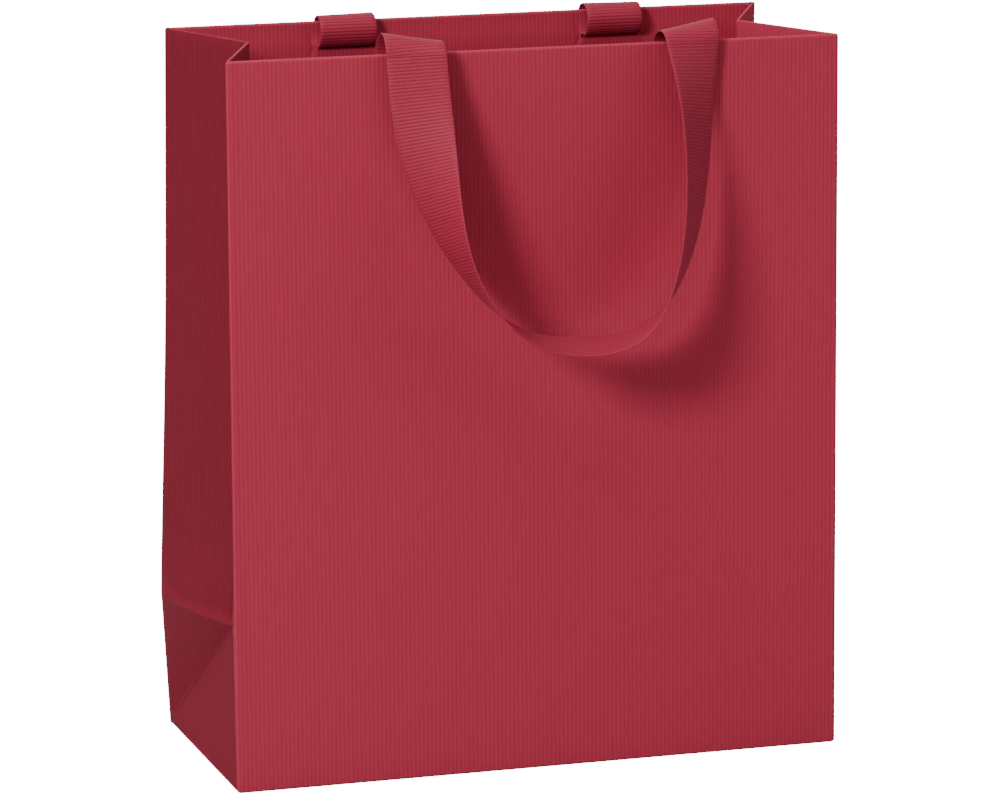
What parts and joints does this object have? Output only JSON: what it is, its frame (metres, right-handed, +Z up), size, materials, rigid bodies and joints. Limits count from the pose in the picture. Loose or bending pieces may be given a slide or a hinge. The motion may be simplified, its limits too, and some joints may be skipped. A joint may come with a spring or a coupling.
{
  "type": "paper gift bag",
  "caption": "Upright red paper gift bag with gusseted sides, a turned-in rim and two hanging ribbon handles.",
  "frame": {"origin": "on the floor, in the middle of the base", "axes": "+Z up, +X along the bag's width to the right seen from the front, -Y towards the front"},
  "size_m": [0.182, 0.137, 0.2158],
  "materials": {
    "ribbed_paper": "matt, finely ribbed",
    "card": "matt grey board",
    "ribbon": "grosgrain weave"
  },
  "bodies": {
    "base": {"base_card": "card", "base_flap_front": "ribbed_paper", "base_flap_back": "ribbed_paper", "base_flap_left": "ribbed_paper", "base_flap_right": "ribbed_paper", "back_foot_strip": "ribbed_paper", "left_gusset_foot": "ribbed_paper", "right_gusset_foot": "ribbed_paper", "left_gusset_wedge": "ribbed_paper", "right_gusset_wedge": "ribbed_paper", "left_gusset_front": "ribbed_paper", "right_gusset_front": "ribbed_paper", "left_gusset_back": "ribbed_paper", "right_gusset_back": "ribbed_paper", "left_gusset_front_hem": "ribbed_paper", "right_gusset_front_hem": "ribbed_paper", "left_gusset_back_hem": "ribbed_paper", "right_gusset_back_hem": "ribbed_paper"},
    "front_wall": {"front_panel": "ribbed_paper", "front_hem": "ribbed_paper", "front_rim_card": "card", "front_ribbon_end_left": "ribbon", "front_ribbon_end_right": "ribbon", "front_ribbon_bends": "ribbon"},
    "back_wall": {"back_panel": "ribbed_paper", "back_hem": "ribbed_paper", "back_rim_card": "card", "back_ribbon_end_left": "ribbon", "back_ribbon_end_right": "ribbon", "side_seam_flap": "ribbed_paper", "back_ribbon_bends": "ribbon"},
    "front_handle": {"front_ribbon_loop": "ribbon"},
    "back_handle": {"back_ribbon_loop": "ribbon"}
  },
  "joints": [
    {"name": "front_wall_lean", "type": "hinge", "parent": "base", "child": "front_wall", "pos_m": [0, -0.04, 0], "axis": [-1, 0, 0], "range_deg": [0, 7.4], "stiffness_Nm_per_rad": 0.05, "springref_deg": -5.73, "deforming": ["left_gusset_front", "right_gusset_front", "left_gusset_front_hem", "right_gusset_front_hem"]},
    {"name": "back_wall_lean", "type": "hinge", "parent": "base", "child": "back_wall", "pos_m": [0, 0.0425, 0.04], "axis": [1, 0, 0], "range_deg": [0, 9.2], "stiffness_Nm_per_rad": 0.05, "springref_deg": -5.73, "deforming": ["left_gusset_back", "right_gusset_back", "left_gusset_back_hem", "right_gusset_back_hem"]},
    {"name": "front_handle_swing", "type": "hinge", "parent": "front_wall", "child": "front_handle", "pos_m": [0, -0.034, 0.20826], "axis": [-1, 0, 0], "range_deg": [0, 140], "deforming": ["front_ribbon_bends"]},
    {"name": "back_handle_swing", "type": "hinge", "parent": "back_wall", "child": "back_handle", "pos_m": [0, 0.034, 0.20695], "axis": [1, 0, 0], "range_deg": [0, 140], "deforming": ["back_ribbon_bends"]}
  ],
  "couplings": [
    {"joint": "back_wall_lean", "follows": "front_wall_lean", "ratio": 1.23}
  ]
}
